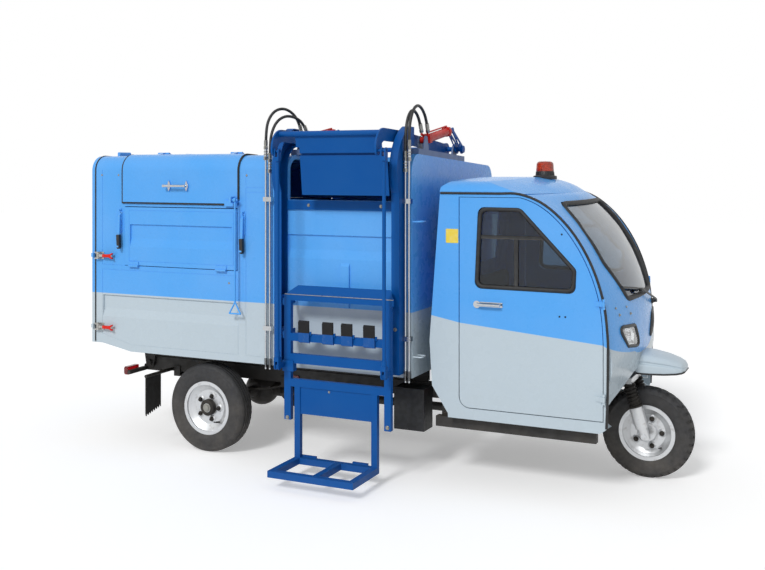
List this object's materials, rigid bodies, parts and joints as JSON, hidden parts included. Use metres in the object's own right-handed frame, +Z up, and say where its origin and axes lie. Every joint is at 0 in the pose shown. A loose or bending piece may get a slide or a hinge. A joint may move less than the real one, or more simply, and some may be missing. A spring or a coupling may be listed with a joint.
{
  "type": "garbage truck",
  "caption": "Three-wheeled refuse truck with cab, tipping load box, side bin lift, top-hung tailgate and opening side lids.",
  "frame": {"origin": "on the ground under the middle of the truck's box, bin lift and hoses' supports included", "axes": "+X forward, +Y to the truck's left, +Z up"},
  "size_m": [3.893, 1.972, 2.2317],
  "materials": {
    "light_blue_paint": "gloss two-tone enamel, light blue above pale grey",
    "pale_grey_paint": "gloss enamel",
    "dark_blue_paint": "satin enamel",
    "grey_blue_paint": "satin enamel",
    "red_paint": "gloss enamel",
    "black_paint": "matt chassis black",
    "silver_paint": "silver wheel paint",
    "chrome": "polished",
    "steel": "bright zinc",
    "engine_iron": "as cast",
    "tyre": "moulded",
    "black_rubber": "moulded",
    "black_plastic": "moulded",
    "lamp": "clear lens over a bright bowl",
    "beacon_lens": "orange lens on a black base",
    "tail_lens": "red lens in a black housing",
    "glass": "tinted",
    "vinyl": "black vinyl"
  },
  "bodies": {
    "chassis": {"chassis_frame": "black_paint", "cross_members": "black_paint", "rear_axle": "black_paint", "leaf_springs": "black_paint", "engine_block": "engine_iron", "battery_box": "black_plastic", "mud_flaps": "black_rubber", "tail_lamps": "tail_lens", "cab_front": "light_blue_paint", "headlamps": "lamp", "cab_glass": "glass", "cab_sides": "light_blue_paint", "cab_roof": "light_blue_paint", "beacon": "beacon_lens", "cab_back_wall": "light_blue_paint", "cab_floor": "black_paint", "seat_pads": "vinyl", "front_mudguard": "pale_grey_paint"},
    "steering": {"front_fork": "silver_paint", "handlebar": "black_plastic"},
    "front_wheel": {"front_tyre": "tyre", "front_rim": "silver_paint"},
    "rear_wheel_right": {"rear_tyre_right": "tyre", "rear_rim_right": "silver_paint"},
    "rear_wheel_left": {"rear_tyre_left": "tyre", "rear_rim_left": "silver_paint"},
    "cab_door_right": {"door_right": "light_blue_paint", "door_glass_right": "glass", "door_handle_right": "chrome"},
    "cab_door_left": {"door_left": "light_blue_paint", "door_glass_left": "glass", "door_handle_left": "chrome"},
    "tipping_barrel": {"tip_ram_barrel": "black_paint"},
    "tipping_rod": {"tip_ram_rod": "chrome"},
    "bed": {"box_floor": "black_paint", "box_side_right": "light_blue_paint", "box_side_left": "light_blue_paint", "box_roof": "light_blue_paint", "box_front_wall": "light_blue_paint", "lift_posts": "dark_blue_paint", "ram_mounts": "grey_blue_paint", "lift_pipes": "chrome", "latches": "steel", "lift_hose_rear_a": "black_rubber", "lift_hose_rear_b": "black_rubber", "lift_hose_front_a": "black_rubber", "lift_hose_front_b": "black_rubber"},
    "back_gate": {"tailgate": "light_blue_paint"},
    "lid_right": {"box_lid_right": "light_blue_paint"},
    "lid_left": {"box_lid_left": "light_blue_paint"},
    "flap_right": {"box_flap_right": "light_blue_paint"},
    "flap_left": {"box_flap_left": "light_blue_paint"},
    "pull_right": {"pull_rod_right": "light_blue_paint"},
    "pull_left": {"pull_rod_left": "light_blue_paint"},
    "arms": {"lift_arms": "dark_blue_paint"},
    "rods": {"tie_rods": "dark_blue_paint"},
    "carriage": {"lift_carriage": "dark_blue_paint", "comb_pads": "black_rubber"},
    "ram_barrels": {"lift_ram_barrels": "red_paint"},
    "ram_rods": {"lift_ram_rods": "chrome"}
  },
  "joints": [
    {"name": "steering_turn", "type": "hinge", "parent": "chassis", "child": "steering", "pos_m": [1.627, 0.206, 0.27], "axis": [-0.2974, 0, 0.9548], "range_deg": [-35, 35]},
    {"name": "front_wheel_spin", "type": "hinge", "parent": "steering", "child": "front_wheel", "pos_m": [1.677, 0.206, 0.27], "axis": [0, 1, 0], "continuous": true},
    {"name": "rear_wheel_right_spin", "type": "hinge", "parent": "chassis", "child": "rear_wheel_right", "pos_m": [-1.023, -0.429, 0.285], "axis": [0, 1, 0], "continuous": true},
    {"name": "rear_wheel_left_spin", "type": "hinge", "parent": "chassis", "child": "rear_wheel_left", "pos_m": [-1.023, 0.841, 0.285], "axis": [0, 1, 0], "continuous": true},
    {"name": "cab_door_right_swing", "type": "hinge", "parent": "chassis", "child": "cab_door_right", "pos_m": [1.561, -0.468, 0.8], "axis": [0, 0, 1], "range_deg": [0, 70]},
    {"name": "cab_door_left_swing", "type": "hinge", "parent": "chassis", "child": "cab_door_left", "pos_m": [1.561, 0.88, 0.8], "axis": [0, 0, -1], "range_deg": [0, 70]},
    {"name": "bed_tip", "type": "hinge", "parent": "chassis", "child": "bed", "pos_m": [-1.673, 0.206, 0.49], "axis": [0, -1, 0], "range_deg": [0, 45]},
    {"name": "tip_barrel_pivot", "type": "hinge", "parent": "chassis", "child": "tipping_barrel", "pos_m": [-0.253, 0.206, 0.4], "axis": [0, 1, 0], "range_deg": [0, 21.36]},
    {"name": "tip_rod_slide", "type": "slide", "parent": "tipping_barrel", "child": "tipping_rod", "axis": [-0.9749, 0, 0.2228], "range_m": [0, 0.4428]},
    {"name": "tailgate_swing", "type": "hinge", "parent": "bed", "child": "back_gate", "pos_m": [-1.932, 0.206, 1.95], "axis": [0, 1, 0], "range_deg": [0, 80]},
    {"name": "lid_right_swing", "type": "hinge", "parent": "bed", "child": "lid_right", "pos_m": [-1.215, -0.287, 1.94665], "axis": [-1, 0, 0], "range_deg": [0, 70]},
    {"name": "lid_left_swing", "type": "hinge", "parent": "bed", "child": "lid_left", "pos_m": [-1.215, 0.699, 1.89735], "axis": [1, 0, 0], "range_deg": [0, 70]},
    {"name": "pull_right_pivot", "type": "hinge", "parent": "lid_right", "child": "pull_right", "pos_m": [-0.753, -0.559, 1.645], "axis": [-1, 0, 0], "range_deg": [-70.5, 0]},
    {"name": "pull_left_pivot", "type": "hinge", "parent": "lid_left", "child": "pull_left", "pos_m": [-0.753, 0.971, 1.645], "axis": [1, 0, 0], "range_deg": [-70.5, 0]},
    {"name": "flap_right_swing", "type": "hinge", "parent": "bed", "child": "flap_right", "pos_m": [-1.233, -0.528, 1.19], "axis": [1, 0, 0], "range_deg": [0, 150]},
    {"name": "flap_left_swing", "type": "hinge", "parent": "bed", "child": "flap_left", "pos_m": [-1.233, 0.94, 1.19], "axis": [-1, 0, 0], "range_deg": [0, 150]},
    {"name": "arm_swing", "type": "hinge", "parent": "bed", "child": "arms", "pos_m": [0.007, 0.326, 1.972], "axis": [-1, 0, 0], "range_deg": [0, 36]},
    {"name": "tie_rod_pivot", "type": "hinge", "parent": "arms", "child": "rods", "pos_m": [0.047, -0.754, 1.945], "axis": [-1, 0, 0], "range_deg": [-27.78, 0]},
    {"name": "carriage_slide", "type": "slide", "parent": "bed", "child": "carriage", "axis": [0, 0, 1], "range_m": [0, 0.6571]},
    {"name": "ram_barrel_pivot", "type": "hinge", "parent": "bed", "child": "ram_barrels", "pos_m": [0.047, -0.294, 2.015], "axis": [1, 0, 0], "range_deg": [0, 5.79]},
    {"name": "ram_rod_slide", "type": "slide", "parent": "ram_barrels", "child": "ram_rods", "axis": [0, 0.9867, 0.1626], "range_m": [0, 0.1155]}
  ],
  "couplings": [
    {"joint": "tip_barrel_pivot", "follows": "bed_tip", "ratio": 0.4702},
    {"joint": "tip_rod_slide", "follows": "bed_tip", "m_per_rad": 0.56129},
    {"joint": "pull_right_pivot", "follows": "lid_right_swing", "ratio": -1},
    {"joint": "pull_left_pivot", "follows": "lid_left_swing", "ratio": -1},
    {"joint": "tie_rod_pivot", "follows": "arm_swing", "ratio": -0.76332},
    {"joint": "carriage_slide", "follows": "arm_swing", "m_per_rad": 1.0411},
    {"joint": "ram_barrel_pivot", "follows": "arm_swing", "ratio": 0.15801},
    {"joint": "ram_rod_slide", "follows": "arm_swing", "m_per_rad": 0.18219}
  ]
}
